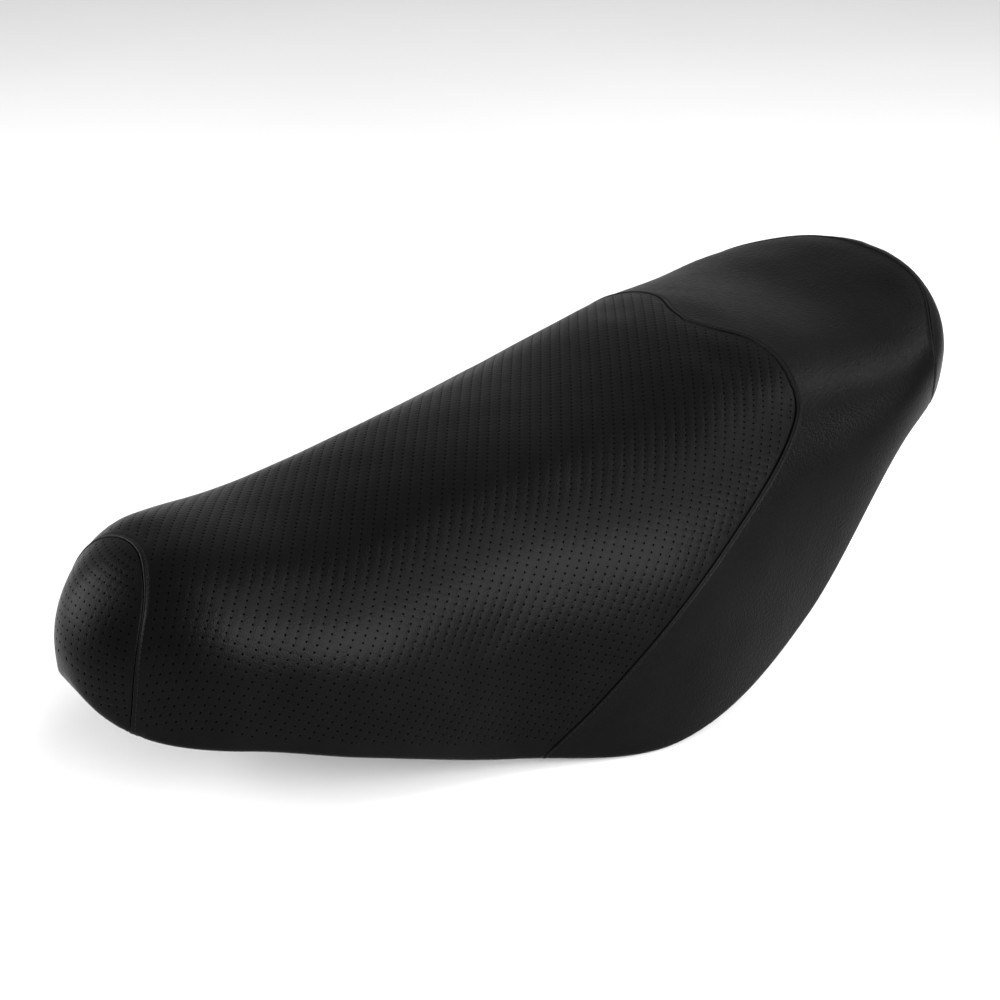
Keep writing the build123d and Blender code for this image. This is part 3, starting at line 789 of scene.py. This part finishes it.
# ---- materials ------------------------------------------------------------------------------------------
def material(name, colour, rough, metallic=0.0, specular=0.5, grain=(), tint=0.25, patch=30.0, sheen=0.0):
    """A procedural finish: uneven colour and roughness, and bump from (kind, size mm, depth mm) layers."""
    made = bpy.data.materials.new(name)
    made.use_nodes = True
    nodes, links = made.node_tree.nodes, made.node_tree.links
    shader = nodes["Principled BSDF"]
    shader.inputs["Metallic"].default_value = metallic
    shader.inputs["Specular IOR Level"].default_value = specular
    shader.inputs["Sheen Weight"].default_value = sheen
    shader.inputs["Sheen Roughness"].default_value = 0.4
    where = nodes.new("ShaderNodeTexCoord")

    def texture(kind, size, detail=3.0):
        scaled = nodes.new("ShaderNodeTexVoronoi" if kind == "cell" else "ShaderNodeTexNoise")
        scaled.inputs["Scale"].default_value = 1 / (size * MM)
        if kind == "cell":
            scaled.feature = "SMOOTH_F1"
            scaled.inputs["Smoothness"].default_value = 0.4
            links.new(where.outputs["Object"], scaled.inputs["Vector"])
            return scaled.outputs["Distance"]
        scaled.inputs["Detail"].default_value = detail
        links.new(where.outputs["Object"], scaled.inputs["Vector"])
        return scaled.outputs["Fac"]

    mottle = texture("noise", patch)
    ramp = nodes.new("ShaderNodeValToRGB")
    ramp.color_ramp.elements[0].position = 0.3
    ramp.color_ramp.elements[1].position = 0.7
    ramp.color_ramp.elements[0].color = (*[c * (1 - tint) for c in colour], 1)
    ramp.color_ramp.elements[1].color = (*[min(1, c * (1 + tint)) for c in colour], 1)
    links.new(mottle, ramp.inputs["Fac"])
    links.new(ramp.outputs["Color"], shader.inputs["Base Color"])
    spread = nodes.new("ShaderNodeMapRange")
    spread.inputs["To Min"].default_value = rough[0]
    spread.inputs["To Max"].default_value = rough[1]
    links.new(texture("noise", patch / 6, 5.0), spread.inputs["Value"])
    links.new(spread.outputs["Result"], shader.inputs["Roughness"])
    last = None
    for kind, size, depth in grain:
        bump = nodes.new("ShaderNodeBump")
        bump.inputs["Strength"].default_value = 1.0
        bump.inputs["Distance"].default_value = depth * MM
        links.new(texture(kind, size), bump.inputs["Height"])
        if last:
            links.new(last.outputs["Normal"], bump.inputs["Normal"])
        last = bump
    if last:
        links.new(last.outputs["Normal"], shader.inputs["Normal"])
    return made


BLACK = (0.001, 0.001, 0.0011)
PERFORATED = material("vinyl_perforated", BLACK, (0.3, 0.4), specular=0.035,
                      grain=(("noise", 2.2, 0.09), ("cell", 1.0, 0.1)))
# Painted shade: the holes' faces get a darker, matte black than the vinyl round them, standing in for the
# shadow inside the holes.
HOLE_SHADE = material("punched_hole_painted_shade", (0.0006, 0.0006, 0.0006), (0.8, 0.95), specular=0.01,
                   grain=(("noise", 0.6, 0.05),))
PLAIN = material("vinyl_plain", BLACK, (0.3, 0.44), specular=0.04,
                 grain=(("noise", 2.6, 0.2), ("cell", 1.3, 0.16)))
THREAD = material("thread", (0.003, 0.003, 0.0033), (0.55, 0.75), specular=0.07, sheen=0.01,
                  grain=(("noise", 0.35, 0.08),))
FOAM = material("foam", (0.5, 0.44, 0.3), (0.8, 0.95), specular=0.2,
                grain=(("cell", 1.6, 0.4), ("noise", 6.0, 0.4)))
PLASTIC = material("pan_plastic", (0.022, 0.022, 0.024), (0.4, 0.6), specular=0.45,
                   grain=(("noise", 0.9, 0.05), ("noise", 14.0, 0.15)))
ZINC = material("zinc_steel", (0.62, 0.62, 0.6), (0.28, 0.5), metallic=1.0,
                grain=(("noise", 0.5, 0.02), ("noise", 5.0, 0.05)), tint=0.18, patch=7.0)
BRASS = material("brass", (0.72, 0.52, 0.22), (0.25, 0.45), metallic=1.0,
                 grain=(("noise", 0.5, 0.02),), tint=0.15, patch=5.0)
NYLON = material("washer_nylon", (0.75, 0.74, 0.68), (0.4, 0.55), grain=(("noise", 0.7, 0.03),), tint=0.08)
RUBBER = material("rubber", (0.018, 0.018, 0.018), (0.65, 0.85), specular=0.3,
                  grain=(("noise", 0.8, 0.08), ("noise", 4.0, 0.1)))

for piece in (cover_nose, cover_driver):
    piece.data.materials.append(PERFORATED)
    piece.data.materials.append(HOLE_SHADE)
for piece in (cover_passenger, cover_tail):
    piece.data.materials.append(PLAIN)
for piece in threads:
    piece.data.materials.append(THREAD)
foam.data.materials.append(FOAM)

FINISH = {"base_pan": PLASTIC, "cover_staples": ZINC, "hinge_bracket": ZINC, "hinge_leaf": ZINC,
          "hinge_pin": ZINC, "hinge_pin_clip": ZINC, "hinge_washers": NYLON, "hinge_leaf_bolts": ZINC,
          "hinge_leaf_inserts": BRASS, "striker_plate": ZINC, "striker_loop": ZINC, "striker_bolts": ZINC,
          "striker_inserts": BRASS}
for name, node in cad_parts.items():
    finish = FINISH.get(name, RUBBER if name.startswith("bumper") else None)
    if finish:
        for slot in node.material_slots:
            slot.material = finish
        if not node.material_slots:
            node.data.materials.append(finish)

# ---- floor, light and camera -------------------------------------------------------------------------------
FLOOR_HALF = 6000.0
FLOOR_DROP = 0.5           # how far the floor is below the lowest point
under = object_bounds()[0].z / MM - FLOOR_DROP
corners = [(x * FLOOR_HALF, y * FLOOR_HALF, under) for x, y in ((-1, -1), (1, -1), (1, 1), (-1, 1))]
floor = make_piece("floor", corners, [(0, 1, 2, 3)])
floor.data.materials.append(material("floor", (0.58, 0.58, 0.58), (0.7, 0.8), specular=0.2, tint=0.01,
                                     grain=(("noise", 3.0, 0.02),), patch=400.0))

world = bpy.data.worlds.new("studio")
bpy.context.scene.world = world
world.use_nodes = True
backdrop = world.node_tree.nodes["Background"]
backdrop.inputs["Color"].default_value = (1, 1, 1, 1)
backdrop.inputs["Strength"].default_value = 0.75
AIM = Vector((0.269, 0.0, 0.071))
LIGHTS_AWAY = 2.2


def softbox(name, direction, size, power):
    """A rectangular light that faces the seat from a direction."""
    light = bpy.data.lights.new(name, "AREA")
    light.shape = "RECTANGLE"
    light.size, light.size_y = size
    light.energy = power
    box = bpy.data.objects.new(name, light)
    away = Vector(direction).normalized()
    box.location = AIM + away * LIGHTS_AWAY
    box.rotation_mode = "QUATERNION"
    box.rotation_quaternion = away.to_track_quat("Z", "Y")
    box.visible_camera = False
    bpy.context.collection.objects.link(box)


softbox("near", (0.0, -0.93, 0.37), (1.8, 1.6), 150)
softbox("over", (0.08, -0.5, 0.86), (1.4, 1.2), 38)
softbox("left", (-0.74, 0.6, 0.3), (1.5, 1.5), 60)
softbox("right", (0.55, -0.08, 0.83), (0.8, 0.8), 20)

AZIMUTH, ELEVATION, AWAY = math.radians(-34.5), math.radians(26.55), 1.415
camera = bpy.data.cameras.new("camera")
camera.sensor_width = 36.0
camera.lens = 71.6
camera.shift_x, camera.shift_y = -0.0093, 0.0095
back = Vector((math.sin(AZIMUTH) * math.cos(ELEVATION), -math.cos(AZIMUTH) * math.cos(ELEVATION),
               math.sin(ELEVATION)))
view = bpy.data.objects.new("camera", camera)
view.location = AIM + back * AWAY
view.rotation_mode = "QUATERNION"
view.rotation_quaternion = back.to_track_quat("Z", "Y")
bpy.context.collection.objects.link(view)
bpy.context.scene.camera = view
bpy.context.scene.view_settings.view_transform = "Standard"
